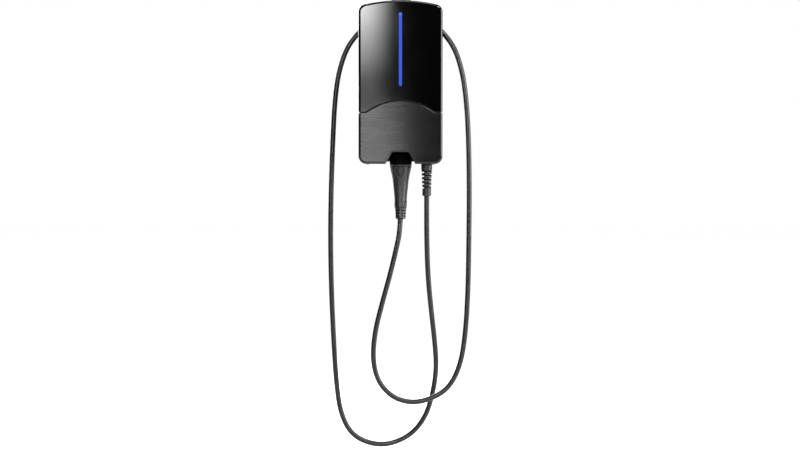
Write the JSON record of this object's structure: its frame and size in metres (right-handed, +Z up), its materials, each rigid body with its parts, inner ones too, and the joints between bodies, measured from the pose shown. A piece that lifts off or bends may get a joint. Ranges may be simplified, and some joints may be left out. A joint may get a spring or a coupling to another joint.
{
  "type": "ev wallbox",
  "caption": "Slim wall-hung charging station for electric cars: black cover with an arched seam, upright light bar, cable hung over its back, plug parked in a holster.",
  "frame": {"origin": "middle of the four wall screw holes, on the wall plane behind the bracket", "axes": "+X to the right seen from the front, +Y into the wall, +Z up"},
  "size_m": [0.3902, 0.116, 1.2236],
  "materials": {
    "cover_gloss": "gloss black",
    "cover_satin": "satin dark grey",
    "light": "blue light bar",
    "housing": "fine-textured dark grey",
    "lid": "grey",
    "bracket": "grey powder coat",
    "steel": "zinc plated",
    "seal": "soft",
    "board": "green board",
    "component": "black",
    "metal_can": "bright",
    "terminal": "light grey",
    "gland": "dark grey",
    "cable": "satin dark grey",
    "copper": "silver-plated",
    "plug_black": "fine matt black",
    "plug_grey": "fine matt grey",
    "lamp": "lamp"
  },
  "bodies": {
    "root": {"upper_cover": "cover_gloss", "lower_cover": "cover_satin", "light_guide": "light", "rear_housing": "housing", "wall_bracket": "bracket", "bracket_lock_screw": "steel", "electronics_lid": "lid", "terminal_lid": "lid", "electronics_seal": "seal", "terminal_seal": "seal", "lid_screws": "steel", "cover_screws": "steel", "light_board": "board", "light_lamps": "lamp", "main_board": "board", "board_screws": "steel", "main_relays": "component", "power_supply": "component", "capacitors": "metal_can", "current_sensor": "component", "board_spacers": "steel", "control_board": "board", "radio_module": "metal_can", "network_socket": "metal_can", "supply_terminals": "terminal", "cable_terminals": "terminal", "terminal_screws": "steel", "gland_body": "gland", "gland_seal": "seal", "gland_nut": "gland", "bend_spiral": "gland", "cable_end": "cable", "cable_cores": "cable", "cable_clamp": "steel", "clamp_screws": "steel", "supply_grommet": "seal", "data_plug": "seal", "plug_holster": "housing", "holster_screws": "steel", "plug_nose": "plug_black", "contact_carrier": "plug_black", "power_contacts": "copper", "signal_contacts": "copper", "plug_seal": "seal", "plug_shell": "plug_grey", "plug_panel": "plug_black", "plug_screws": "steel", "plug_relief": "plug_grey", "plug_clamp": "steel", "charging_cable": "cable"}
  },
  "joints": []
}
